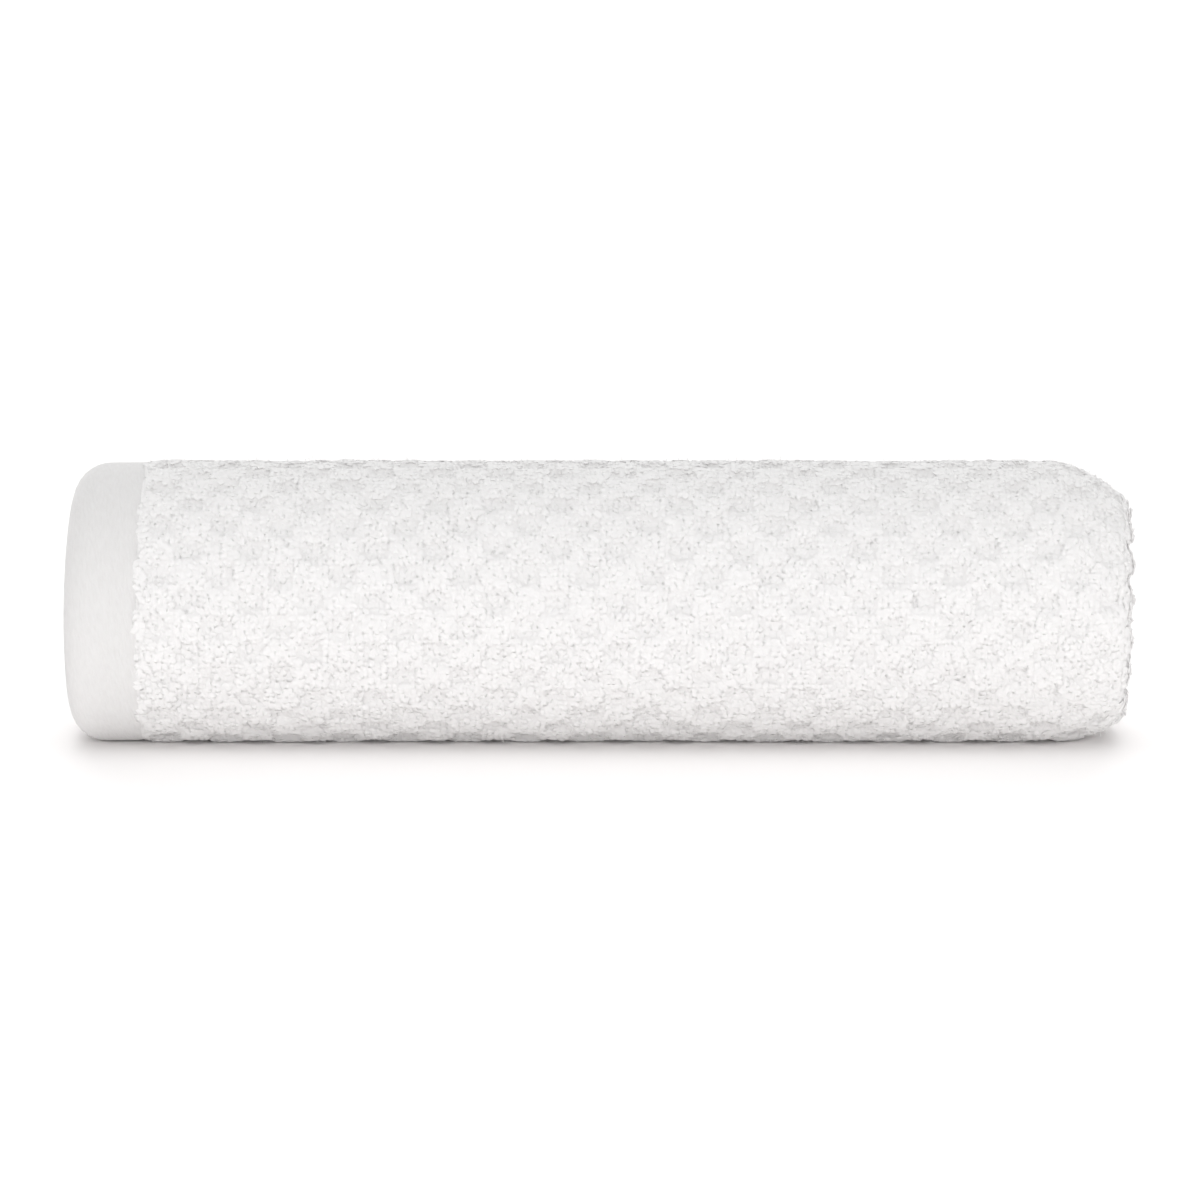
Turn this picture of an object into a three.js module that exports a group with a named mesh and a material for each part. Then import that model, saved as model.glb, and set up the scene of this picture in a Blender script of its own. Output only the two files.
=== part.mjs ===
// A white cotton hand towel with a checkered terry pile, folded in three across its length and rolled up.
//
// The roll lies along X on the plane z = 0. +Z is up, and its front faces -Y. The towel is 900 mm long, so folding
// it in three gives a strip about 300 mm wide, whose three layers are wound together from one long edge. The flat
// woven hem of the outer layer is at the -X end, and the thick fold round the tucked in hem is at the +X end.
// The whole towel is one piece of cloth, so it is one solid: the folded section, swept along the winding.
import * as THREE from 'three';

// Sizes in millimetres. Radial sizes are measured from the roll's axis.
const ROLL_LENGTH = 303;
const CLOTH = 3; // thickness with its pile, as pressed in the roll
const GAP = 0.35; // between layers, and between turns
const OUTER_RADIUS = 44.4; // at the loose edge, where the roll is widest

const LAYER_PITCH = CLOTH + GAP;
const STACK = 3 * CLOTH + 2 * GAP;
const TURN_PITCH = STACK + GAP;

// The flat woven hem has no pile. It curls in over the end of the roll.
const HEM = {
  width: 21,
  thickness: 2.6,
  pileStep: 2,
  curlRadius: 9,
  curlDegrees: 80,
  curlShares: [0, 0.3, 0.6, 0.85, 1], // of the curl's angle, where the section has its points
};
// The fold at the +X end holds all three layers, and the one at the -X end only two.
const THICK_FOLD = { reach: 9, wall: 3, outerBends: 5, innerBends: 3 };
const THIN_FOLD = { fromEnd: 6.5, reach: 4, slot: 1, bends: 4 };
const TUCKED_HEM = { fromEnd: 10, taper: 2 };
const PLAIN_STATIONS = [0, 130, 136]; // x of the section's points between the two ends

// The roll is drawn in towards the tip of the thick fold, by these shares of its radius.
const DRAWN_IN = { reach: 21, middle: 0.18, moreAtTop: 0.07, curve: 1.3 };
const SPREAD = 0.02; // how much wider than high it has settled
// Turns were not wound quite in line, so the layers wander a little along X.
const WANDER = { size: 0.9, perTurn: 0.83, start: 3.54 };

// The cloth is 500 mm wide, which these turns take up. They are pressed thinner round the core, where the turns
// would have no room left: CORE_SOFTNESS is how many turns the change takes.
const WOUND_DEGREES = 1380;
const CORE_SOFTNESS = 0.42;

// Angles round the roll, in degrees: 0 is the front, 90 the top, 180 the back and -90 the floor.
const LOOSE_EDGE_ANGLE = -135;
const FINE_STEP = 10; // on the outermost turn
const COARSE_STEP = 20; // on the turns inside it
const FLOOR_ANGLE = -90;
const FLAT_HALF_ANGLE = 15.2;

const radians = THREE.MathUtils.degToRad;

// Points of an elliptic bend between two faces, without its two ends. It starts on the side away from halfQ.
function bend(centreX, centreQ, reachX, halfQ, count) {
  const points = [];
  for (let i = 1; i < count; i++) {
    const angle = (Math.PI * i) / count - Math.PI / 2;
    points.push([centreX + reachX * Math.cos(angle), centreQ + halfQ * Math.sin(angle)]);
  }
  return points;
}

// Points of the curled hem on one of its faces, from the start of the curl to its edge.
function hemCurl(startX, middleQ, side) {
  const radius = HEM.curlRadius + (side * HEM.thickness) / 2;
  const points = [];
  for (const share of HEM.curlShares) {
    const angle = share * radians(HEM.curlDegrees);
    points.push([startX - radius * Math.sin(angle), middleQ - HEM.curlRadius + radius * Math.cos(angle)]);
  }
  return points;
}

// Points along a layer's face at height q, from one x to another.
function run(q, stations) {
  return stations.map((x) => [x, q]);
}

// The closed outline of the folded towel, cut across its winding: x along the roll, q outwards from the middle of
// the three layers. The outer layer runs from the hem to the thick fold, the inner one back to the thin fold, and
// the middle one from there to the tucked in hem.
function foldedSection() {
  const end = ROLL_LENGTH / 2;
  const half = CLOTH / 2;
  const hemX = -end + (HEM.curlRadius + HEM.thickness / 2) * Math.sin(radians(HEM.curlDegrees));
  const pileX = -end + HEM.width;
  const thickX = end - THICK_FOLD.reach;
  const thinX = -end + THIN_FOLD.fromEnd + THIN_FOLD.reach;
  const hemMiddle = LAYER_PITCH - (CLOTH - HEM.thickness) / 2 + GAP / 2;
  const faces = {
    outerTop: LAYER_PITCH + half,
    outerUnder: LAYER_PITCH - half,
    middleTop: half,
    middleUnder: -half,
    innerTop: -LAYER_PITCH + half,
    innerUnder: -LAYER_PITCH - half,
  };
  const thinMiddle = (faces.middleTop + faces.innerUnder) / 2;
  const inward = [...PLAIN_STATIONS].reverse();
  const tuckedX = end - TUCKED_HEM.fromEnd;
  const tuckedTaperX = tuckedX - TUCKED_HEM.taper;
  return [
    ...hemCurl(hemX, hemMiddle, 1).reverse(),
    [pileX - HEM.pileStep / 2, hemMiddle + HEM.thickness / 2],
    ...run(faces.outerTop, [pileX + HEM.pileStep / 2, ...PLAIN_STATIONS, thickX]),
    ...bend(thickX, 0, THICK_FOLD.reach, -faces.outerTop, THICK_FOLD.outerBends),
    ...run(faces.innerUnder, [thickX, ...inward, pileX, thinX]),
    ...bend(thinX, thinMiddle, -THIN_FOLD.reach, LAYER_PITCH / 2 + half, THIN_FOLD.bends),
    ...run(faces.middleTop, [thinX, pileX, ...PLAIN_STATIONS, tuckedTaperX]),
    ...run(faces.middleTop - half / 2, [tuckedX]),
    ...run(faces.middleUnder + half / 2, [tuckedX]),
    ...run(faces.middleUnder, [tuckedTaperX, ...inward, pileX, thinX]),
    [thinX - THIN_FOLD.slot, thinMiddle],
    ...run(faces.innerTop, [thinX, pileX, ...PLAIN_STATIONS, thickX]),
    ...bend(thickX, 0, THICK_FOLD.reach - THICK_FOLD.wall, faces.outerUnder, THICK_FOLD.innerBends),
    ...run(faces.outerUnder, [thickX, ...inward, pileX]),
    ...hemCurl(hemX, hemMiddle, -1),
  ];
}

// Radius of the inner face of the three layers, this many degrees of winding in from the loose edge. It falls by
// a turn's pitch each turn, and levels off at the core.
function innerRadius(degreesIn) {
  const turnsToCore = (OUTER_RADIUS - STACK) / TURN_PITCH - degreesIn / 360;
  return TURN_PITCH * CORE_SOFTNESS * Math.log(1 + Math.exp(turnsToCore / CORE_SOFTNESS));
}

// The outer face lies a gap inside the inner face of the turn that covers it.
function outerRadius(degreesIn) {
  return innerRadius(degreesIn - 360) - GAP;
}

// Radius of the whole roll at an angle round it, before anything presses it.
function rollRadius(degrees) {
  return outerRadius(THREE.MathUtils.euclideanModulo(degrees - LOOSE_EDGE_ANGLE, 360));
}

// The roll is soft: it has settled a little wider than high, and is drawn in at the thick fold.
function settled(degrees) {
  return 1 + SPREAD * Math.cos(radians(degrees)) ** 2;
}

function drawnIn(x, degrees) {
  const nearTip = Math.max(0, (x - (ROLL_LENGTH / 2 - DRAWN_IN.reach)) / DRAWN_IN.reach);
  const share = DRAWN_IN.middle + DRAWN_IN.moreAtTop * Math.sin(radians(degrees));
  return 1 - share * nearTip ** DRAWN_IN.curve;
}

// The floor presses the underside flat. Every layer above it shares the loss.
const floorDepth = rollRadius(FLOOR_ANGLE) * Math.cos(radians(FLAT_HALF_ANGLE));

function radialScale(x, degrees) {
  const towardsFloor = Math.cos(radians(degrees - FLOOR_ANGLE));
  const pressed = towardsFloor > 0.5 ? floorDepth / (towardsFloor * rollRadius(degrees)) : Infinity;
  return Math.min(settled(degrees), pressed) * drawnIn(x, degrees);
}

function wander(degreesIn) {
  return WANDER.size * Math.sin(radians(degreesIn) * WANDER.perTurn + WANDER.start);
}

// The sweep's steps, in degrees of winding from the loose edge to the core.
function windingSteps() {
  const steps = [];
  for (let degreesIn = 0; degreesIn < 360; degreesIn += FINE_STEP) steps.push(degreesIn);
  for (let degreesIn = 360; degreesIn <= WOUND_DEGREES; degreesIn += COARSE_STEP) steps.push(degreesIn);
  return steps;
}

// A point of the section at one step of the winding, as its place along the roll and its radius.
function rolled([x, q], degreesIn) {
  const along = x + wander(degreesIn);
  const inner = innerRadius(degreesIn);
  const share = (q + STACK / 2) / STACK;
  const radius = inner + share * (outerRadius(degreesIn) - inner);
  return [along, radius * radialScale(along, LOOSE_EDGE_ANGLE + degreesIn)];
}

function inSpace([along, radius], degreesIn) {
  const angle = radians(LOOSE_EDGE_ANGLE + degreesIn);
  return [along, -radius * Math.cos(angle), floorDepth + radius * Math.sin(angle)];
}

// Triangles that close the cut end of the layers at one step.
function endCap(rolledSection, firstVertex) {
  const outline = rolledSection.map(([along, radius]) => new THREE.Vector2(along, radius));
  return THREE.ShapeUtils.triangulateShape(outline, []).map((face) => face.map((vertex) => firstVertex + vertex));
}

function rolledTowel() {
  const section = foldedSection();
  const count = section.length;
  const steps = windingSteps();
  const rolledSections = steps.map((degreesIn) => section.map((point) => rolled(point, degreesIn)));
  const positions = steps.flatMap((degreesIn, step) =>
    rolledSections[step].flatMap((point) => inSpace(point, degreesIn)),
  );
  const triangles = [];
  for (let step = 0; step + 1 < steps.length; step++) {
    for (let i = 0; i < count; i++) {
      const here = step * count + i;
      const next = step * count + ((i + 1) % count);
      triangles.push(here, next, next + count, here, next + count, here + count);
    }
  }
  const last = steps.length - 1;
  for (const [a, b, c] of endCap(rolledSections[0], 0)) triangles.push(a, b, c);
  for (const [a, b, c] of endCap(rolledSections[last], last * count)) triangles.push(c, b, a);
  const geometry = new THREE.BufferGeometry();
  geometry.setAttribute('position', new THREE.Float32BufferAttribute(positions, 3));
  geometry.setIndex(triangles);
  return geometry;
}

const cotton = new THREE.MeshStandardMaterial({ color: 0xf1f0f0, roughness: 0.95, metalness: 0 });
const towel = new THREE.Mesh(rolledTowel(), cotton);
towel.name = 'rolled_towel';

// The origin is under the middle of the roll, on the surface that it rests on.
const box = new THREE.Box3().setFromObject(towel);
towel.position.set(-(box.min.x + box.max.x) / 2, -(box.min.y + box.max.y) / 2, 0);

const part = new THREE.Group();
part.add(towel);
export default part;
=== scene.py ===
# A white cotton hand towel with a checkered terry pile, folded in three across its length and rolled up.
# Sizes are in metres.
import math

import bpy
import numpy as np
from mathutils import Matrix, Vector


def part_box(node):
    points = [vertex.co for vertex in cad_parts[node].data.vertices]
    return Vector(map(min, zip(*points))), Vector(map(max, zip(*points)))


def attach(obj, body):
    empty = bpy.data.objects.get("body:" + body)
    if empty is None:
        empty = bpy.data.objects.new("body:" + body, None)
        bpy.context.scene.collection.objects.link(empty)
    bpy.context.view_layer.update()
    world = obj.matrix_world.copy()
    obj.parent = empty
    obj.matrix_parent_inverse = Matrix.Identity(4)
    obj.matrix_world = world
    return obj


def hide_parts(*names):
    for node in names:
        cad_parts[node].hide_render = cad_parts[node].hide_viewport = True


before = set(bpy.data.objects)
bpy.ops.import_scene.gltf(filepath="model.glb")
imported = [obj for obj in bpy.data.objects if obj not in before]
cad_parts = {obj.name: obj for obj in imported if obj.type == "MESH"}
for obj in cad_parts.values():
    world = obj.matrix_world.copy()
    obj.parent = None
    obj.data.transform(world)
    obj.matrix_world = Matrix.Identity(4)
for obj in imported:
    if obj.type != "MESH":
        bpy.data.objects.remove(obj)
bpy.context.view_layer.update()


# The studio.
# A plain white table top under wide soft light, with the camera a little above the towel's front, far off and
# with a long lens, as small goods are photographed.
CAMERA_DISTANCE = 1.8
CAMERA_ELEVATION = math.radians(9)
CAMERA_LENS = 187.5
SENSOR_WIDTH = 36
TARGET_HEIGHT = 0.040
TABLE_SIDE = 24
TABLE_WHITE = (0.965, 0.950, 0.946, 1)
TABLE_FINISH = {"Roughness": 0.9, "Specular IOR Level": 0.1}
TABLE_GRAIN = {"Scale": 900.0, "Detail": 3.0}
TABLE_BUMP = {"Strength": 0.1, "Distance": 0.0001}
SKY_LIGHT = 0.34
LIGHT_BOUNCES = 8  # white cloth passes the light on many times
LAMP_DISTANCE = 2
# Wide soft lights: the brightness that each gives a white surface facing it, and in degrees how wide it is,
# how high, and how far round the towel from the front. The last lights the table alone, so that it is white.
LIGHTS = {
    "front_light": {"brightness": 0.37, "width": 50, "elevation": 8, "round": 0},
    "high_front_light": {"brightness": 0.08, "width": 50, "elevation": 35, "round": 0},
    "left_light": {"brightness": 0.14, "width": 60, "elevation": 10, "round": -70},
    "right_light": {"brightness": 0.14, "width": 60, "elevation": 10, "round": 70},
    "top_light": {"brightness": 0.19, "width": 70, "elevation": 85, "round": 0},
    "high_back_light": {"brightness": 0.27, "width": 50, "elevation": 45, "round": 180},
    "back_light": {"brightness": 0.20, "width": 40, "elevation": 20, "round": 180},
    "table_light": {"brightness": 0.21, "width": 60, "elevation": 82, "round": 0},
}


class Value:
    """What a node's socket gives. Sums and products of it add Math nodes to its tree."""

    def __init__(self, nodes, socket):
        self.nodes = nodes
        self.socket = socket

    def combine(self, operation, first, second):
        return self.nodes.add("ShaderNodeMath", {"operation": operation}, {0: first, 1: second})

    def __add__(self, other):
        return self.combine("ADD", self, other)

    def __radd__(self, other):
        return self.combine("ADD", other, self)

    def __sub__(self, other):
        return self.combine("SUBTRACT", self, other)

    def __rsub__(self, other):
        return self.combine("SUBTRACT", other, self)

    def __mul__(self, other):
        return self.combine("MULTIPLY", self, other)

    def __rmul__(self, other):
        return self.combine("MULTIPLY", other, self)

    def __lt__(self, other):
        return self.combine("LESS_THAN", self, other)

    def __gt__(self, other):
        return self.combine("GREATER_THAN", self, other)


class Nodes:
    """A node tree that is being built."""

    def __init__(self, tree):
        self.tree = tree
        tree.nodes.clear()

    def add(self, kind, settings=None, inputs=None, gives=None):
        """A node of this kind, with its settings set first, then the values or links of its inputs.

        It gives its first output, or the one or ones that are named.
        """
        node = self.tree.nodes.new(kind)
        for name, value in (settings or {}).items():
            setattr(node, name, value)
        for name, value in (inputs or {}).items():
            socket = self.named(node.inputs, name)
            for given in value if isinstance(value, list) else [value]:
                if isinstance(given, Value):
                    self.tree.links.new(given.socket, socket)
                else:
                    socket.default_value = given
        if isinstance(gives, tuple):
            return [Value(self, self.named(node.outputs, name)) for name in gives]
        return Value(self, self.named(node.outputs, gives)) if len(node.outputs) else None

    def named(self, sockets, name):
        """The socket of this name, or at this place, among those that the node's settings leave in use."""
        in_use = [socket for socket in sockets if socket.enabled]
        if name is None:
            return in_use[0]
        if isinstance(name, int):
            return in_use[name]
        return next(socket for socket in in_use if socket.name == name)


def new_material(name):
    """A new material, and its node tree to build."""
    material = bpy.data.materials.new(name)
    material.use_nodes = True
    return material, Nodes(material.node_tree)


def new_object(name, mesh):
    piece = bpy.data.objects.new(name, mesh)
    bpy.context.scene.collection.objects.link(piece)
    return piece


def build_table():
    material, nodes = new_material("white_table_top")
    position = nodes.add("ShaderNodeTexCoord", gives="Object")
    grain = nodes.add("ShaderNodeTexNoise", None, {"Vector": position, **TABLE_GRAIN}, "Fac")
    normal = nodes.add("ShaderNodeBump", None, {"Height": grain, **TABLE_BUMP})
    values = {"Base Color": TABLE_WHITE, "Normal": normal, **TABLE_FINISH}
    surface = nodes.add("ShaderNodeBsdfPrincipled", None, values)
    nodes.add("ShaderNodeOutputMaterial", None, {"Surface": surface})
    half = TABLE_SIDE / 2
    mesh = bpy.data.meshes.new("table_top")
    corners = [(-half, -half, 0), (half, -half, 0), (half, half, 0), (-half, half, 0)]
    mesh.from_pydata(corners, [], [(0, 1, 2, 3)])
    mesh.materials.append(material)
    table = new_object("table_top", mesh)
    return table


def look_at_towel(thing, distance, elevation, round_angle=0.0):
    """Stands a lamp or the camera this far off, this high and this far round, facing the towel."""
    away = distance * math.cos(elevation)
    height = TARGET_HEIGHT + distance * math.sin(elevation)
    thing.location = (away * math.sin(round_angle), -away * math.cos(round_angle), height)
    thing.rotation_euler = (math.pi / 2 - elevation, 0, round_angle)


def light_studio(table):
    scene = bpy.context.scene
    world = bpy.data.worlds.new("studio_light")
    world.use_nodes = True
    nodes = Nodes(world.node_tree)
    sky = nodes.add("ShaderNodeBackground", None, {"Color": (1, 1, 1, 1), "Strength": SKY_LIGHT})
    nodes.add("ShaderNodeOutputWorld", None, {"Surface": sky})
    scene.world = world
    scene.view_settings.view_transform = "Standard"
    scene.cycles.diffuse_bounces = LIGHT_BOUNCES
    for name, light in LIGHTS.items():
        lamp = bpy.data.lights.new(name, "SUN")
        lamp.angle = math.radians(light["width"])
        lamp.energy = light["brightness"] * math.pi
        sun = new_object(name, lamp)
        look_at_towel(sun, LAMP_DISTANCE, math.radians(light["elevation"]), math.radians(light["round"]))
        if name == "table_light":
            lit_by_it = bpy.data.collections.new("table_alone")
            lit_by_it.objects.link(table)
            sun.light_linking.receiver_collection = lit_by_it


def place_camera():
    lens = bpy.data.cameras.new("camera")
    lens.sensor_width = SENSOR_WIDTH
    lens.lens = CAMERA_LENS
    camera = new_object("camera", lens)
    look_at_towel(camera, CAMERA_DISTANCE, CAMERA_ELEVATION)
    bpy.context.scene.camera = camera


light_studio(build_table())
place_camera()


# The towel's cloth.
# One length of cotton terry cloth, 0.9 m by 0.5 m, woven with a pile in a checker of raised blocks and a flat
# hem at each end. It is folded in three across its length, and the layers are wound up from one long edge.
TOWEL_LENGTH = 0.9
TOWEL_WIDTH = 0.5
ROLL_LENGTH = 0.303
CLOTH = 0.003  # thickness with its pile, as pressed in the roll
GAP = 0.00035  # between layers, and between turns
OUTER_RADIUS = 0.0444  # at the loose edge, where the roll is widest
LAYER_PITCH = CLOTH + GAP
STACK = 3 * CLOTH + 2 * GAP
TURN_PITCH = STACK + GAP

# The flat end hem curls in over the end of the roll.
END_HEM = {
    "width": 0.021,
    "thickness": 0.0026,
    "pile_step": 0.002,
    "curl_radius": 0.009,
    "curl": math.radians(80),
}
THICK_FOLD_REACH = 0.009
THIN_FOLD = {"from_end": 0.0065, "reach": 0.004, "slot": 0.001}
TUCKED_HEM_FROM_END = 0.010

# Angles round the roll run from the front, over the top, to the back.
FULL_TURN = 2 * math.pi
WOUND = math.radians(1380)
CORE_SOFTNESS = 0.42  # over how many turns the cloth is pressed thinner round the core
LOOSE_EDGE_ANGLE = math.radians(-135)
FLOOR_ANGLE = math.radians(-90)
FLAT_HALF_ANGLE = math.radians(15.2)
NEAR_FLOOR = 0.5  # cosine of how far round from the floor its flat can reach

# The roll has settled a little wider than high, its thick fold is drawn in, and its turns wander along it.
SPREAD = 0.02
DRAWN_IN = {"reach": 0.021, "middle": 0.18, "more_at_top": 0.07, "curve": 1.3}
WANDER = {"size": 0.0009, "per_turn": 0.83, "start": 3.54}

# How finely the cloth's middle line and its spiral are worked out.
CURL_POINTS = 40
BEND_POINTS = 60
LINE_POINTS = 4000
SPIRAL_POINTS = 6000
ROUND_POINTS = 361

# The pile's checker: blocks of high loops between pits of low ones, in rows along the roll. One pit is at
# PIT_ROW_ANGLE round the roll and at PIT_X, and the others follow from it.
BLOCK_LENGTH = 0.00865
BLOCK_WIDTH = 0.00655
PIT_ROW_ANGLE = math.radians(-46.1)
PIT_X = -0.0903
BLOCK_HEIGHT = 0.0016
PIT_HEIGHT = 0.0001
BLOCK_EDGE = (-0.7, 0.2)
BLOCK_CROWN = 0.0002
UNEVEN_BLOCKS = 0.00022
STRAY = 0.0007
WAVINESS = 0.00012
HEM_EDGE_STRAY = 0.0005
PILE_RISE = (-0.0004, 0.0006)
SIDE_RISE = (0, 0.001)
HEM_HEIGHT = END_HEM["thickness"] / 2
UNDER_HEIGHT = 0.0012
FOLD_UNDER_HEIGHT = 0.0008
FOLD_SQUEEZE = (1.6, 0.8)  # from where to where it fades in, as shares of half the fold
SIDE_HEM = 0.009


def inner_radius(wound):
    """Radius of the inner face of the three layers, this far round from the loose edge, in radians."""
    turns_to_core = (OUTER_RADIUS - STACK) / TURN_PITCH - wound / FULL_TURN
    return TURN_PITCH * CORE_SOFTNESS * np.log1p(np.exp(turns_to_core / CORE_SOFTNESS))


def outer_radius(wound):
    """Radius of their outer face, a gap inside the turn that covers it."""
    return inner_radius(wound - FULL_TURN) - GAP


def roll_radius(angle):
    """Radius of the whole roll at an angle round it, before anything presses it."""
    return outer_radius(np.mod(angle - LOOSE_EDGE_ANGLE, FULL_TURN))


FLOOR_DEPTH = roll_radius(FLOOR_ANGLE) * math.cos(FLAT_HALF_ANGLE)


def radial_scale(x, angle):
    """How far the roll has settled, been pressed by the table and drawn in at its thick fold."""
    towards_floor = np.cos(angle - FLOOR_ANGLE)
    pressed = FLOOR_DEPTH / (np.maximum(towards_floor, NEAR_FLOOR) * roll_radius(angle))
    settled = 1 + SPREAD * np.cos(angle) ** 2
    settled = np.where(towards_floor > NEAR_FLOOR, np.minimum(settled, pressed), settled)
    near_tip = np.maximum(0, (x - (ROLL_LENGTH / 2 - DRAWN_IN["reach"])) / DRAWN_IN["reach"])
    share = DRAWN_IN["middle"] + DRAWN_IN["more_at_top"] * np.sin(angle)
    return settled * (1 - share * near_tip ** DRAWN_IN["curve"])


def wander(wound):
    """How far the cloth has slid along the roll, this far round from the loose edge."""
    return WANDER["size"] * np.sin(wound * WANDER["per_turn"] + WANDER["start"])


class FoldedLine:
    """Middle line of the folded cloth, cut across its winding: x along the roll, q out from the middle."""

    def __init__(self):
        end = ROLL_LENGTH / 2
        curl_radius = END_HEM["curl_radius"]
        hem_middle = LAYER_PITCH - (CLOTH - END_HEM["thickness"]) / 2 + GAP / 2
        curl_x = -end + (curl_radius + END_HEM["thickness"] / 2) * math.sin(END_HEM["curl"])
        curl = np.linspace(END_HEM["curl"], 0, CURL_POINTS)
        pile_x = -end + END_HEM["width"]
        step = END_HEM["pile_step"] / 2
        thick_x = end - THICK_FOLD_REACH
        thin_x = -end + THIN_FOLD["from_end"] + THIN_FOLD["reach"]
        thick_reach = THICK_FOLD_REACH - CLOTH / 2
        thin_reach = (THIN_FOLD["reach"] + THIN_FOLD["slot"]) / 2
        bend = np.linspace(math.pi / 2, -math.pi / 2, BEND_POINTS)
        x = np.concatenate([
            curl_x - curl_radius * np.sin(curl),
            [pile_x - step, pile_x + step],
            thick_x + thick_reach * np.cos(bend),
            thin_x - thin_reach * np.cos(bend),
            [end - TUCKED_HEM_FROM_END],
        ])
        q = np.concatenate([
            hem_middle - curl_radius * (1 - np.cos(curl)),
            [hem_middle, LAYER_PITCH],
            LAYER_PITCH * np.sin(bend),
            -LAYER_PITCH / 2 * (1 + np.sin(bend)),
            [0],
        ])
        gone = np.concatenate([[0], np.cumsum(np.hypot(np.diff(x), np.diff(q)))])
        self.length = gone[-1]
        self.along = np.linspace(0, self.length, LINE_POINTS)
        self.x = np.interp(self.along, gone, x)
        self.q = np.interp(self.along, gone, q)
        step_x = np.gradient(self.x)
        step_q = np.gradient(self.q)
        size = np.hypot(step_x, step_q)
        self.toward_x = step_x / size
        self.toward_q = step_q / size
        outer_layer = slice(0, LINE_POINTS // 4)
        self.pile_start = np.interp(pile_x, self.x[outer_layer], self.along[outer_layer])
        # Before the thick fold come the curl's points and the two at the pile's edge.
        turning = len(curl) + 2
        self.thick_fold = gone[turning], gone[turning + len(bend) - 1]
        self.thin_fold = gone[turning + len(bend)], gone[turning + 2 * len(bend) - 1]

    def at(self, along, height):
        """A point at this place along the cloth, and this far off its middle line."""
        inside = np.clip(along, 0, self.length)
        toward_x = np.interp(inside, self.along, self.toward_x)
        toward_q = np.interp(inside, self.along, self.toward_q)
        past = along - inside
        x = np.interp(inside, self.along, self.x) + past * toward_x - height * toward_q
        q = np.interp(inside, self.along, self.q) + past * toward_q + height * toward_x
        return x, q


class Winding:
    """The spiral that the middle of the three layers follows, as its length from the loose edge."""

    def __init__(self):
        self.wound = np.linspace(0, WOUND, SPIRAL_POINTS)
        radius = (inner_radius(self.wound) + outer_radius(self.wound)) / 2
        x = radius * np.cos(self.wound)
        y = radius * np.sin(self.wound)
        self.across = np.concatenate([[0], np.cumsum(np.hypot(np.diff(x), np.diff(y)))])
        self.length = self.across[-1]
        self.end_radius = radius[0], radius[-1]

    def angle_at(self, across):
        inside = np.clip(across, 0, self.length)
        past = across - inside
        radius = np.where(past < 0, self.end_radius[0], self.end_radius[1])
        return np.interp(inside, self.across, self.wound) + past / radius

    def across_at(self, wound):
        return np.interp(wound, self.wound, self.across)


folded_line = FoldedLine()
winding = Winding()


def roll_centre():
    """The roll's axis, from where the frame holds the towel."""
    low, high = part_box("rolled_towel")
    angles = np.linspace(LOOSE_EDGE_ANGLE, LOOSE_EDGE_ANGLE + FULL_TURN, ROUND_POINTS)
    depth = -roll_radius(angles) * radial_scale(0, angles) * np.cos(angles)
    x = low[0] + ROLL_LENGTH / 2 + WANDER["size"]
    y = (low[1] + high[1]) / 2 - (depth.min() + depth.max()) / 2
    return x, y


AXIS_X, AXIS_Y = roll_centre()


def on_towel(along, across, height):
    """Points of the rolled towel: along and across the flat cloth, and off its middle, in metres."""
    x, q = folded_line.at(along, height)
    wound = winding.angle_at(across)
    angle = LOOSE_EDGE_ANGLE + wound
    x = x + wander(wound)
    inner = inner_radius(wound)
    share = (q + STACK / 2) / STACK
    radius = (inner + share * (outer_radius(wound) - inner)) * radial_scale(x, angle)
    return np.stack([
        AXIS_X + x,
        AXIS_Y - radius * np.cos(angle),
        FLOOR_DEPTH + radius * np.sin(angle),
    ], axis=-1)


def smooth_step(low, high, value):
    """0 up to low and 1 from high on, with a soft rise between them."""
    share = np.clip((value - low) / (high - low), 0, 1)
    return share * share * (3 - 2 * share)


class Unevenness:
    """Soft random hills of one size over the flat cloth, from -1 to 1."""

    HILLS_PAST_EDGES = 3
    WITHIN_LAST = 1.001  # keeps a place far past the edge just inside the last hill

    def __init__(self, size, seed):
        self.size = size
        count = [math.ceil(length / size) + self.HILLS_PAST_EDGES for length in (TOWEL_LENGTH, TOWEL_WIDTH)]
        self.hills = np.random.default_rng(seed).uniform(-1, 1, count)

    def at(self, along, across):
        column = np.clip(along / self.size + 1, 0, self.hills.shape[0] - self.WITHIN_LAST)
        row = np.clip(across / self.size + 1, 0, self.hills.shape[1] - self.WITHIN_LAST)
        left = column.astype(int)
        low = row.astype(int)
        right_share = smooth_step(0, 1, column - left)
        top_share = smooth_step(0, 1, row - low)
        bottom = self.hills[left, low] * (1 - right_share) + self.hills[left + 1, low] * right_share
        top = self.hills[left, low + 1] * (1 - right_share) + self.hills[left + 1, low + 1] * right_share
        return bottom * (1 - top_share) + top * top_share


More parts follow.
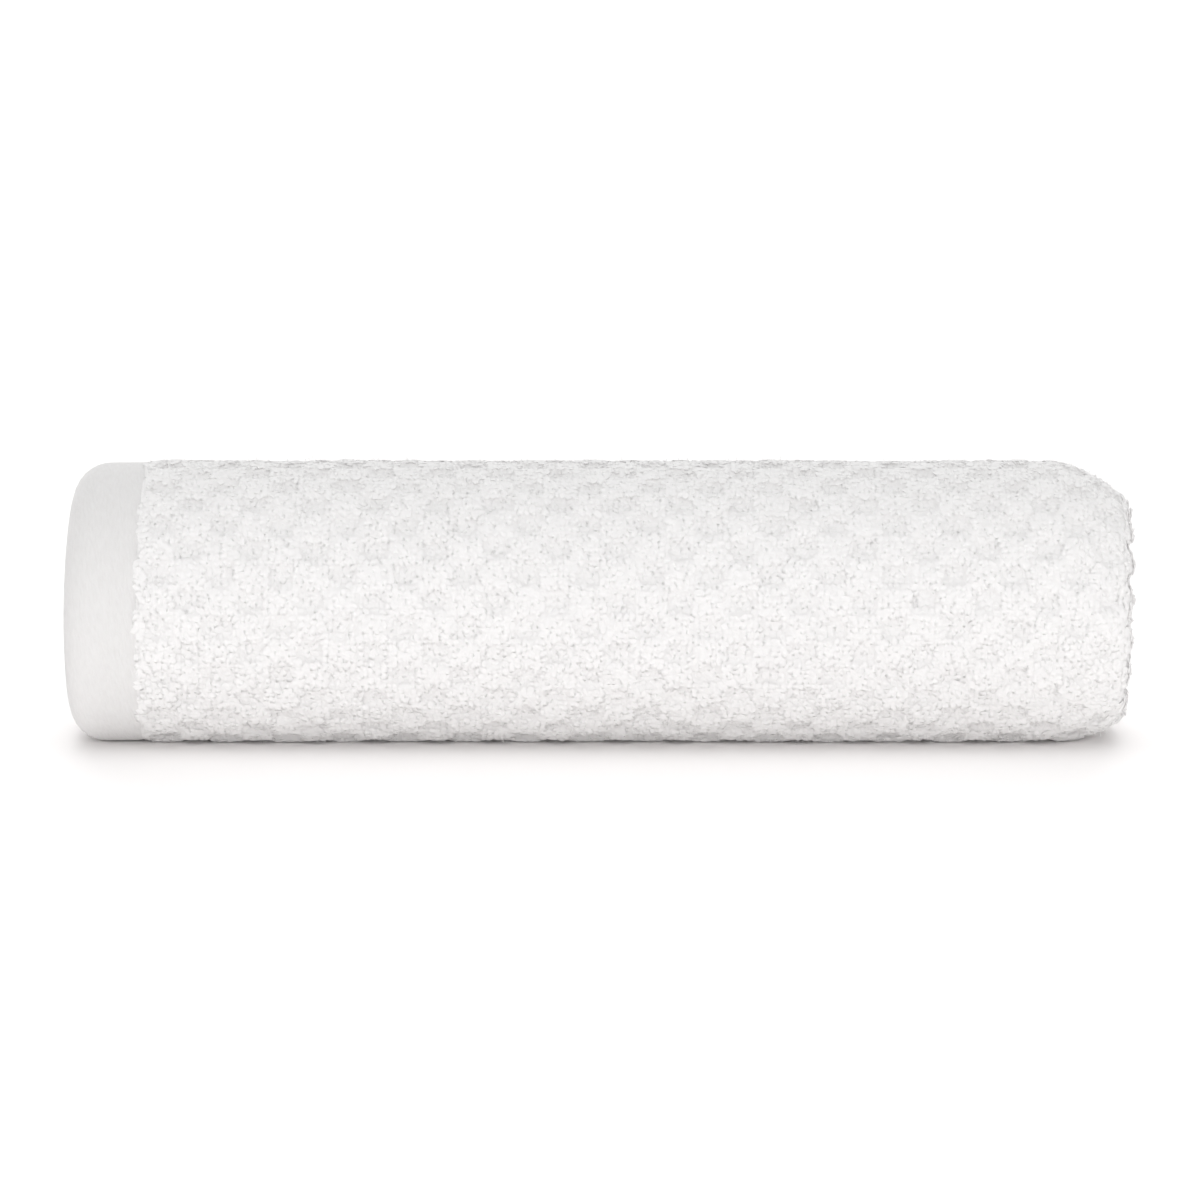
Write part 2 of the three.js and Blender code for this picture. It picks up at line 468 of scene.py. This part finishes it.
class Checker:
    """The pile's raised blocks and low pits, over the flat cloth."""

    def __init__(self):
        self.stray_along = Unevenness(size=0.011, seed=11)
        self.stray_across = Unevenness(size=0.013, seed=12)
        self.block_hills = Unevenness(size=0.0045, seed=13)
        self.wide_hills = Unevenness(size=0.030, seed=14)
        self.hem_edge = Unevenness(size=0.0021, seed=15)
        pit_wound = PIT_ROW_ANGLE - LOOSE_EDGE_ANGLE
        past_hem = PIT_X - AXIS_X - wander(pit_wound) + ROLL_LENGTH / 2 - END_HEM["width"]
        self.first_along = folded_line.pile_start + past_hem - BLOCK_LENGTH / 2
        self.first_across = winding.across_at(pit_wound) + BLOCK_WIDTH / 2

    def wave(self, along, across):
        """From 1 in the middle of a block to -1 in the middle of a pit."""
        along = along + STRAY * self.stray_along.at(along, across)
        across = across + STRAY * self.stray_across.at(along, across)
        column = np.sin(math.pi * (along - self.first_along) / BLOCK_LENGTH)
        row = np.sin(math.pi * (across - self.first_across) / BLOCK_WIDTH)
        return column * row

    def pile_share(self, along, across):
        """1 where the cloth has its pile, and 0 on the hems."""
        edge = folded_line.pile_start + HEM_EDGE_STRAY * self.hem_edge.at(along, across)
        from_hem = smooth_step(*PILE_RISE, along - edge)
        from_side = smooth_step(*SIDE_RISE, np.minimum(across, winding.length - across) - SIDE_HEM)
        return from_hem * from_side

    def height(self, along, across):
        """How far the visible face stands off the cloth's middle."""
        wave = self.wave(along, across)
        block = smooth_step(*BLOCK_EDGE, wave)
        relief = PIT_HEIGHT + (BLOCK_HEIGHT - PIT_HEIGHT) * block + BLOCK_CROWN * np.maximum(wave, 0)
        relief = relief + UNEVEN_BLOCKS * block * self.block_hills.at(along, across)
        share = self.pile_share(along, across)
        waviness = WAVINESS * self.wide_hills.at(along, across)
        return HEM_HEIGHT + share * (relief - HEM_HEIGHT) + waviness


checker = Checker()


def under_height(along):
    """How far the hidden face stands off the cloth's middle. The folds squeeze it."""
    squeezed = 0
    for start, finish in (folded_line.thick_fold, folded_line.thin_fold):
        middle = (start + finish) / 2
        squeezed = squeezed + smooth_step(*FOLD_SQUEEZE, np.abs(along - middle) / (finish - middle))
    return UNDER_HEIGHT + (FOLD_UNDER_HEIGHT - UNDER_HEIGHT) * np.clip(squeezed, 0, 1)


# The mesh is fine where the cloth shows, and coarse inside the roll.
TURN_OF_CLOTH = winding.across_at(FULL_TURN)
FINE_ALONG = BLOCK_LENGTH / 6
FINE_ACROSS = BLOCK_WIDTH / 5
INNER_ACROSS = BLOCK_WIDTH / 3
LONG_STEP = 0.040
HEM_STEP = 0.0018
FOLD_STEP = 0.0012
BEFORE_PILE = 0.001
PAST_THICK_FOLD = 0.002
EDGE_ROUND = 0.0007
RIM_FULLNESS = (0.45, 0.85)
RIM_SIDE = 0.6
FLOOR_CLEARANCE = 0.0002  # how far everything stays off the table


def stretch(start, finish, step):
    """Even stations from start up to, and without, finish."""
    return np.linspace(start, finish, max(2, round((finish - start) / step) + 1))[:-1]


def cloth_stations():
    """Places along the cloth's visible face, and which of them the hidden face has too."""
    thick_start, thick_end = folded_line.thick_fold
    thin_start, thin_end = folded_line.thin_fold
    hem_end = folded_line.pile_start - BEFORE_PILE
    bend_end = thick_end + PAST_THICK_FOLD
    # Each run's start, finish and step, and how many of its steps make one of the hidden face's.
    runs = [
        (0, hem_end, HEM_STEP, 2),
        (hem_end, thick_start, FINE_ALONG, 24),
        (thick_start, bend_end, FINE_ALONG, 1),
        (bend_end, thin_start, LONG_STEP, 1),
        (thin_start, thin_end, FOLD_STEP, 1),
        (thin_end, folded_line.length, LONG_STEP, 1),
    ]
    stations = []
    shared = []
    for start, finish, step, every in runs:
        places = stretch(start, finish, step)
        shared += [i % every == 0 for i in range(len(places))]
        stations += list(places)
    return np.array(stations + [folded_line.length]), np.array(shared + [True])


def cloth_rows():
    """Places across the cloth, and how full its thickness is there: both long edges are rounded."""
    rim = np.array([-EDGE_ROUND, -EDGE_ROUND / 2])
    outer = stretch(0, TURN_OF_CLOTH + BLOCK_WIDTH, FINE_ACROSS)
    inner = stretch(TURN_OF_CLOTH + BLOCK_WIDTH, winding.length, INNER_ACROSS)
    rows = np.concatenate([rim, outer, inner, [winding.length], winding.length - rim[::-1]])
    fullness = np.ones(len(rows))
    fullness[[0, -1]] = RIM_FULLNESS[0]
    fullness[[1, -2]] = RIM_FULLNESS[1]
    return rows, fullness


def edge_triangles(under, last_station, count):
    """Triangles across one long edge, between the visible face's stations and the hidden face's."""
    edge_a = last_station + 1
    edge_b = last_station + 2
    hem_a = count - 2
    hem_b = count - 1
    under_index = {station: edge_b + len(under) - place for place, station in enumerate(under)}
    triangles = []
    for first, second in zip(under[:-1], under[1:]):
        for station in range(first, second):
            triangles.append((under_index[first], station, station + 1))
        triangles.append((under_index[first], second, under_index[second]))
    triangles += [(last_station, edge_a, edge_b), (last_station, edge_b, under_index[last_station])]
    triangles += [(under_index[0], hem_a, hem_b), (under_index[0], hem_b, 0)]
    return triangles


def build_cloth(material):
    """The cloth's skin: a ring of stations round its thickness, repeated at each row across it."""
    stations, shared = cloth_stations()
    under = np.flatnonzero(shared)
    end_edge = [stations[-1] + EDGE_ROUND] * 2
    hem_edge = [-EDGE_ROUND] * 2
    rim = np.array([RIM_SIDE, -RIM_SIDE])
    ring_along = np.concatenate([stations, end_edge, stations[under][::-1], hem_edge])
    ring_side = np.concatenate([np.ones(len(stations)), rim, -np.ones(len(under)), -rim])
    rows, fullness = cloth_rows()
    along, across = np.meshgrid(ring_along, rows)
    side = np.broadcast_to(ring_side, along.shape)
    top = checker.height(along, across)
    height = np.where(side > 0, side * top, side * under_height(along)) * fullness[:, None]
    points = on_towel(along, across, height)
    points[..., 2] = np.maximum(points[..., 2], FLOOR_CLEARANCE)
    count = len(ring_along)
    grid = np.arange(along.size).reshape(along.shape)
    right = np.roll(grid, -1, axis=1)
    quads = np.stack([grid[:-1], right[:-1], right[1:], grid[1:]], axis=-1).reshape(-1, 4)
    edges = []
    last_row = (len(rows) - 1) * count
    for a, b, c in edge_triangles(under, len(stations) - 1, count):
        edges.append((c, b, a))
        edges.append((last_row + a, last_row + b, last_row + c))
    mesh = bpy.data.meshes.new("towel_cloth")
    mesh.from_pydata(points.reshape(-1, 3), [], quads.tolist() + edges)
    mesh.polygons.foreach_set("use_smooth", np.ones(len(mesh.polygons), bool))
    corners = np.empty(len(mesh.loops), int)
    mesh.loops.foreach_get("vertex_index", corners)
    flat = np.stack([along.ravel() / TOWEL_LENGTH, across.ravel() / TOWEL_WIDTH], axis=-1)
    mesh.uv_layers.new(name="flat_cloth").uv.foreach_set("vector", flat[corners].ravel())
    mesh.materials.append(material)
    mesh.update()
    return new_object("towel_cloth", mesh)


# White cotton, a little whiter in the pile than on the flat hem, and greyer in patches by PATCH_SHADE.
HEM_COTTON = (0.805, 0.801, 0.799, 1)
PILE_COTTON = (0.893, 0.888, 0.886, 1)
PATCH_SHADE = (0.900, 0.890, 0.885, 1)
COTTON = {
    "Roughness": 0.95,
    "Specular IOR Level": 0.15,
    "Sheen Weight": 0.25,
    "Sheen Roughness": 0.5,
    "Sheen Tint": (1, 1, 1, 1),
}
HEM_STREAK = {"width": 0.0006, "length": 0.0030}
HEM_SLANT = 0.16
STREAK_NOISE = {"Scale": 1.0, "Detail": 2.0}
GROUND_YARN = 0.0007
FUZZ_NOISE = {"Scale": 2500.0, "Detail": 3.0}
LUMP_NOISE = {"Scale": 650.0, "Detail": 4.0}
RELIEF_SHARE = {"streaks": 0.9, "fuzz": 0.35, "weave": 0.15, "lumps": 2.0}
GROUND_PATCHES = 0.5
GROUND_BUMP = {"Strength": 0.8, "Distance": 0.00030}


def cotton_surface(nodes, white, shaded, normal):
    """Dull white cotton, a little greyer where it is shaded, with the faint sheen of its fibres."""
    shade = {"data_type": "RGBA", "blend_type": "MULTIPLY"}
    colour = nodes.add("ShaderNodeMix", shade, {"Factor": shaded, "A": white, "B": PATCH_SHADE}, "Result")
    surface = nodes.add("ShaderNodeBsdfPrincipled", None, {"Base Color": colour, "Normal": normal, **COTTON})
    nodes.add("ShaderNodeOutputMaterial", None, {"Surface": surface})


def ground_material():
    """The woven ground: a fine plain weave under the loops, and steep fine streaks of weft on the hem."""
    material, nodes = new_material("white_cotton_ground")
    position = nodes.add("ShaderNodeTexCoord", gives="Object")
    flat = nodes.add("ShaderNodeUVMap", {"uv_map": "flat_cloth"})
    length_share, width_share = nodes.add("ShaderNodeSeparateXYZ", None, {"Vector": flat}, ("X", "Y"))
    along = length_share * TOWEL_LENGTH
    across = width_share * TOWEL_WIDTH
    on_hem = along < folded_line.pile_start
    on_pile = 1 - on_hem
    streak_place = nodes.add("ShaderNodeCombineXYZ", None, {
        "X": (along + across * HEM_SLANT) * (1 / HEM_STREAK["width"]),
        "Y": across * (1 / HEM_STREAK["length"]),
    })
    streaks = nodes.add("ShaderNodeTexNoise", None, {"Vector": streak_place, **STREAK_NOISE}, "Fac")
    warp = nodes.add("ShaderNodeMath", {"operation": "SINE"}, {0: along * (FULL_TURN / GROUND_YARN)})
    weft = nodes.add("ShaderNodeMath", {"operation": "SINE"}, {0: across * (FULL_TURN / GROUND_YARN)})
    fuzz = nodes.add("ShaderNodeTexNoise", None, {"Vector": position, **FUZZ_NOISE}, "Fac")
    lumps = nodes.add("ShaderNodeTexNoise", None, {"Vector": position, **LUMP_NOISE}, "Fac")
    hem_relief = streaks * RELIEF_SHARE["streaks"] + fuzz * RELIEF_SHARE["fuzz"]
    pile_relief = warp * weft * RELIEF_SHARE["weave"] + lumps * RELIEF_SHARE["lumps"]
    relief = on_hem * hem_relief + on_pile * pile_relief
    normal = nodes.add("ShaderNodeBump", None, {"Height": relief, **GROUND_BUMP})
    mix = {"data_type": "RGBA"}
    white = nodes.add("ShaderNodeMix", mix, {"Factor": on_hem, "A": PILE_COTTON, "B": HEM_COTTON}, "Result")
    cotton_surface(nodes, white, on_hem * streaks + on_pile * (lumps * GROUND_PATCHES), normal)
    return material


towel_cloth = build_cloth(ground_material())
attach(towel_cloth, "root")
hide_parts("rolled_towel")


# The pile's loops.
# Warp yarns of soft twisted cotton stand up from the ground as small loops all over the pile, high on the
# blocks and low in the pits. They are woven in with the cloth, and pressed flat and over each other.
LOOP_PITCH_ALONG = BLOCK_LENGTH / 5.2
LOOP_PITCH_ACROSS = BLOCK_WIDTH / 4.3
LOOP_STRAY = 0.3
LOOP_PLACES_SEED = 21
LOOP_SEED = 30
PAST_TIP = 0.003
TIP_FROM = 0.25  # where the fold's tip starts, as a share of the thick fold
HIDDEN_BY_TABLE = 0.7  # the share of the roll's flat that has no loops but at the tip
# One loop, before it is scaled between Smallest and Largest. Root is how deep its feet stand in the cloth.
LOOP = {
    "Yarn Radius": 0.00090,
    "Width": 0.0011,
    "Height": 0.0003,
    "Root": 0.0004,
    "Lean": 0.0004,
    "Twist": 0.0007,
    "Spin": math.radians(90),
    "Tilt": math.radians(6),
    "Smallest": 0.75,
    "Largest": 1.25,
    "Flatness": 0.28,
    "Sides": 4,
    "Steps": 3,
}
FIBRE_NOISE = {"Scale": 1400.0, "Detail": 3.0}
YARN_BUMP = {"Strength": 0.6, "Distance": 0.00010}
PATCH_NOISE = {"Scale": 400.0, "Detail": 4.0}
YARN_PATCHES = 0.4


def yarn_material():
    """Soft yarn, with its fibres as a fine roughness."""
    material, nodes = new_material("white_cotton_yarn")
    position = nodes.add("ShaderNodeTexCoord", gives="Object")
    fibres = nodes.add("ShaderNodeTexNoise", None, {"Vector": position, **FIBRE_NOISE}, "Fac")
    normal = nodes.add("ShaderNodeBump", None, {"Height": fibres, **YARN_BUMP})
    patches = nodes.add("ShaderNodeTexNoise", None, {"Vector": position, **PATCH_NOISE}, "Fac")
    cotton_surface(nodes, PILE_COTTON, patches * YARN_PATCHES, normal)
    return material


class YarnTree:
    """Short bent lengths of yarn on points: each stands along the point's normal, across its heading."""

    SIZES = {
        "Yarn Radius": "NodeSocketFloat",
        "Width": "NodeSocketFloat",
        "Height": "NodeSocketFloat",
        "Root": "NodeSocketFloat",
        "Lean": "NodeSocketFloat",
        "Twist": "NodeSocketFloat",
        "Spin": "NodeSocketFloat",
        "Tilt": "NodeSocketFloat",
        "Smallest": "NodeSocketFloat",
        "Largest": "NodeSocketFloat",
        "Flatness": "NodeSocketFloat",
        "Sides": "NodeSocketInt",
        "Steps": "NodeSocketInt",
        "Seed": "NodeSocketInt",
        "Yarn": "NodeSocketMaterial",
    }
    CREASE = math.radians(95)  # edges sharper than this stay sharp: the two sides of flattened yarn
    # How each kind of loop bends: shares of lean, of twist and of height.
    SHAPES = [(1.0, 0.6, 1.0), (0.5, -1.0, 0.85), (1.6, 0.2, 0.8)]
    # A curve's handles stand wider than its feet, and higher than its top.
    HANDLE_SPREAD = 1.2
    HANDLE_RISE = 4 / 3
    FOOT_TWIST = 0.5

    def __init__(self):
        self.tree = bpy.data.node_groups.new("yarn_on_points", "GeometryNodeTree")
        face = self.tree.interface
        face.new_socket("Points", in_out="INPUT", socket_type="NodeSocketGeometry")
        self.input_id = {}
        for name, kind in self.SIZES.items():
            self.input_id[name] = face.new_socket(name, in_out="INPUT", socket_type=kind).identifier
        face.new_socket("Yarn", in_out="OUTPUT", socket_type="NodeSocketGeometry")
        self.nodes = Nodes(self.tree)
        names = ("Points", *self.SIZES)
        self.given = dict(zip(names, self.nodes.add("NodeGroupInput", gives=names)))
        kinds = [self.one_shape(*shares) for shares in self.SHAPES]
        either = self.nodes.add("GeometryNodeJoinGeometry", None, {"Geometry": kinds})
        scale = self.random("FLOAT", self.given["Smallest"], self.given["Largest"], 1)
        on_points = self.nodes.add("GeometryNodeInstanceOnPoints", None, {
            "Points": self.given["Points"],
            "Instance": either,
            "Pick Instance": True,
            "Instance Index": self.random("INT", 0, len(self.SHAPES) - 1, 0),
            "Rotation": self.standing(),
            "Scale": self.point(scale, scale, scale * self.given["Flatness"]),
        })
        real = self.nodes.add("GeometryNodeRealizeInstances", None, {"Geometry": on_points})
        smooth = self.nodes.add("GeometryNodeSetShadeSmooth", None, {"Geometry": real})
        edge_angle = self.nodes.add("GeometryNodeInputMeshEdgeAngle", gives="Unsigned Angle")
        creased = self.nodes.add("GeometryNodeSetShadeSmooth", {"domain": "EDGE"}, {
            "Geometry": smooth,
            "Selection": edge_angle > self.CREASE,
            "Shade Smooth": False,
        })
        yarn = self.given["Yarn"]
        dyed = self.nodes.add("GeometryNodeSetMaterial", None, {"Geometry": creased, "Material": yarn})
        self.nodes.add("NodeGroupOutput", None, {"Yarn": dyed})

    def random(self, kind, least, most, more_seed):
        values = {"Min": least, "Max": most, "Seed": self.given["Seed"] + more_seed}
        return self.nodes.add("FunctionNodeRandomValue", {"data_type": kind}, values)

    def point(self, x, y, z):
        return self.nodes.add("ShaderNodeCombineXYZ", None, {"X": x, "Y": y, "Z": z})

    def one_shape(self, lean_share, twist_share, height_share):
        """A tube along a curve from foot to foot, as an instance."""
        half = self.given["Width"] * 0.5
        lean = self.given["Lean"] * lean_share
        twist = self.given["Twist"] * twist_share
        top = self.given["Height"] * (height_share * self.HANDLE_RISE)
        root = self.given["Root"] * -1
        line = self.nodes.add("GeometryNodeCurvePrimitiveBezierSegment", {"mode": "POSITION"}, {
            "Resolution": self.given["Steps"],
            "Start": self.point(half * -1, twist * -self.FOOT_TWIST, root),
            "Start Handle": self.point(half * -self.HANDLE_SPREAD - lean, twist, top),
            "End Handle": self.point(half * self.HANDLE_SPREAD - lean, twist * -1, top),
            "End": self.point(half, twist * self.FOOT_TWIST, root),
        })
        circle = self.nodes.add("GeometryNodeCurvePrimitiveCircle", {"mode": "RADIUS"}, {
            "Resolution": self.given["Sides"],
            "Radius": self.given["Yarn Radius"],
        })
        tube = self.nodes.add("GeometryNodeCurveToMesh", None, {
            "Curve": line,
            "Profile Curve": circle,
            "Fill Caps": True,
        })
        return self.nodes.add("GeometryNodeGeometryToInstance", None, {"Geometry": tube})

    def standing(self):
        """Each length's rotation: up its point's normal, then turned and tilted at random."""
        vector = {"data_type": "FLOAT_VECTOR"}
        normal = self.nodes.add("GeometryNodeInputNamedAttribute", vector, {"Name": "stands_along"})
        heading = self.nodes.add("GeometryNodeInputNamedAttribute", vector, {"Name": "heads_for"})
        upright = self.nodes.add(
            "FunctionNodeAxesToRotation",
            {"primary_axis": "Z", "secondary_axis": "X"},
            {"Primary Axis": normal, "Secondary Axis": heading},
        )
        most = self.point(self.given["Tilt"], self.given["Tilt"], self.given["Spin"])
        least = self.point(self.given["Tilt"] * -1, self.given["Tilt"] * -1, self.given["Spin"] * -1)
        turned = self.random("FLOAT_VECTOR", least, most, 2)
        return self.nodes.add(
            "FunctionNodeRotateRotation",
            {"rotation_space": "LOCAL"},
            {"Rotation": upright, "Rotate By": turned},
        )


yarn_tree = YarnTree()
CLOTH_SAMPLE = 0.0002  # how far off a place's neighbours are, which give its directions
RELIEF_LEAN = 0.5  # how much a loop leans with the slope that it stands on


def directions_on_towel(along, across, height, lengthways):
    """At each place, the way out of the cloth, and the way along its length or along its winding."""
    here = on_towel(along, across, height)
    if lengthways:
        ahead = on_towel(along + CLOTH_SAMPLE, across, height) - here
    else:
        ahead = on_towel(along, across + CLOTH_SAMPLE, height) - here
    relief_out = np.cross(
        on_towel(along + CLOTH_SAMPLE, across, checker.height(along + CLOTH_SAMPLE, across)) - here,
        on_towel(along, across + CLOTH_SAMPLE, checker.height(along, across + CLOTH_SAMPLE)) - here,
    )
    plain_out = on_towel(along, across, height + CLOTH_SAMPLE) - here
    relief_out /= np.linalg.norm(relief_out, axis=1)[:, None]
    plain_out /= np.linalg.norm(plain_out, axis=1)[:, None]
    relief_out *= np.sign(np.sum(relief_out * plain_out, axis=1))[:, None]
    out = RELIEF_LEAN * relief_out + plain_out
    return here, out / np.linalg.norm(out, axis=1)[:, None], ahead / np.linalg.norm(ahead, axis=1)[:, None]


def grow_yarn(name, along, across, sizes, seed, material, lengthways=False):
    """A piece of many short lengths of yarn, rooted in the towel at these places."""
    height = checker.height(along, across)
    places, outward, heading = directions_on_towel(along, across, height, lengthways)
    mesh = bpy.data.meshes.new(name)
    mesh.from_pydata(places, [], [])
    for attribute, vectors in (("stands_along", outward), ("heads_for", heading)):
        layer = mesh.attributes.new(attribute, "FLOAT_VECTOR", "POINT")
        layer.data.foreach_set("vector", vectors.ravel())
    piece = new_object(name, mesh)
    modifier = piece.modifiers.new("yarn", "NODES")
    modifier.node_group = yarn_tree.tree
    for label, value in {**sizes, "Seed": seed, "Yarn": material}.items():
        modifier[yarn_tree.input_id[label]] = value
    grown = piece.evaluated_get(bpy.context.evaluated_depsgraph_get())
    piece.data = bpy.data.meshes.new_from_object(grown)
    piece.modifiers.remove(modifier)
    bpy.data.meshes.remove(mesh)
    piece.data.name = name
    for attribute in ("stands_along", "heads_for"):
        piece.data.attributes.remove(piece.data.attributes[attribute])
    points = np.empty(len(piece.data.vertices) * 3)
    piece.data.vertices.foreach_get("co", points)
    points[2::3] = np.maximum(points[2::3], FLOOR_CLEARANCE)
    piece.data.vertices.foreach_set("co", points)
    piece.data.update()
    return piece


def loop_places():
    """Where the loops are rooted: in rows over the pile of the outer turn, and of every turn's thick fold."""
    random = np.random.default_rng(LOOP_PLACES_SEED)
    columns = np.arange(folded_line.pile_start, folded_line.thick_fold[1] + PAST_TIP, LOOP_PITCH_ALONG)
    rows = np.arange(SIDE_HEM, winding.length - SIDE_HEM, LOOP_PITCH_ACROSS)
    along, across = (grid.ravel() for grid in np.meshgrid(columns, rows))
    along = along + random.uniform(-LOOP_STRAY, LOOP_STRAY, along.size) * LOOP_PITCH_ALONG
    across = across + random.uniform(-LOOP_STRAY, LOOP_STRAY, along.size) * LOOP_PITCH_ACROSS
    in_pile = checker.pile_share(along, across) > 0.5
    outermost = across < TURN_OF_CLOTH + LOOP_PITCH_ACROSS
    fold_start, fold_end = folded_line.thick_fold
    at_tip = (along > fold_start + TIP_FROM * (fold_end - fold_start)) & (along < fold_end)
    wound = winding.angle_at(across)
    under_roll = np.abs(wound + LOOSE_EDGE_ANGLE - FLOOR_ANGLE) < HIDDEN_BY_TABLE * FLAT_HALF_ANGLE
    shown = (outermost & ~(under_roll & ~at_tip)) | at_tip
    kept = in_pile & shown
    return along[kept], across[kept]


def build_loops(material):
    """Four pieces of loops, side by side along the cloth."""
    along, across = loop_places()
    order = np.argsort(along)
    names = ("loops_by_the_hem", "loops_left", "loops_right", "loops_at_the_fold")
    pieces = []
    for seed, (name, part) in enumerate(zip(names, np.array_split(order, len(names)))):
        piece = grow_yarn(name, along[part], across[part], LOOP, LOOP_SEED + seed, material)
        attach(piece, "root")
        pieces.append(piece)
    return pieces


white_yarn = yarn_material()
loop_pieces = build_loops(white_yarn)


# Loose fibres.
# Fine ends of cotton that work out of the yarns in washing, and stand a little above the loops.
FIBRE_COUNT = 3600
FIBRE_PLACES_SEED = 41
FIBRE_SEED = 42
FIBRE = {
    "Yarn Radius": 0.00004,
    "Width": 0.0016,
    "Height": 0.0018,
    "Root": 0.0001,
    "Lean": 0.0007,
    "Twist": 0.0008,
    "Spin": math.pi,
    "Tilt": math.radians(35),
    "Smallest": 0.6,
    "Largest": 1.2,
    "Flatness": 1.0,
    "Sides": 3,
    "Steps": 4,
}


def build_fibres(material):
    random = np.random.default_rng(FIBRE_PLACES_SEED)
    along = random.uniform(folded_line.pile_start, folded_line.thick_fold[1], FIBRE_COUNT)
    across = random.uniform(SIDE_HEM, TURN_OF_CLOTH, FIBRE_COUNT)
    return grow_yarn("loose_fibres", along, across, FIBRE, FIBRE_SEED, material)


fibres = build_fibres(white_yarn)
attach(fibres, "root")


# The side hem's stitches.
# The towel's long edges are turned in and sewn with a line of lockstitches in white cotton thread. The loose
# edge shows them at the back of the roll.
STITCH_PITCH = 0.0028
STITCH_FROM_EDGE = 0.0078
STITCH_FROM_END = 0.002
STITCH_SEED = 51
STITCH = {
    "Yarn Radius": 0.00016,
    "Width": 0.0023,
    "Height": 0.00012,
    "Root": 0.0003,
    "Lean": 0.0,
    "Twist": 0.0,
    "Spin": math.radians(4),
    "Tilt": 0.0,
    "Smallest": 0.96,
    "Largest": 1.04,
    "Flatness": 1.0,
    "Sides": 5,
    "Steps": 5,
}


def build_stitches(material):
    along = np.arange(STITCH_FROM_END, folded_line.thick_fold[1], STITCH_PITCH)
    across = np.full(along.size, STITCH_FROM_EDGE)
    return grow_yarn("side_hem_stitches", along, across, STITCH, STITCH_SEED, material, lengthways=True)


stitches = build_stitches(white_yarn)
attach(stitches, "root")
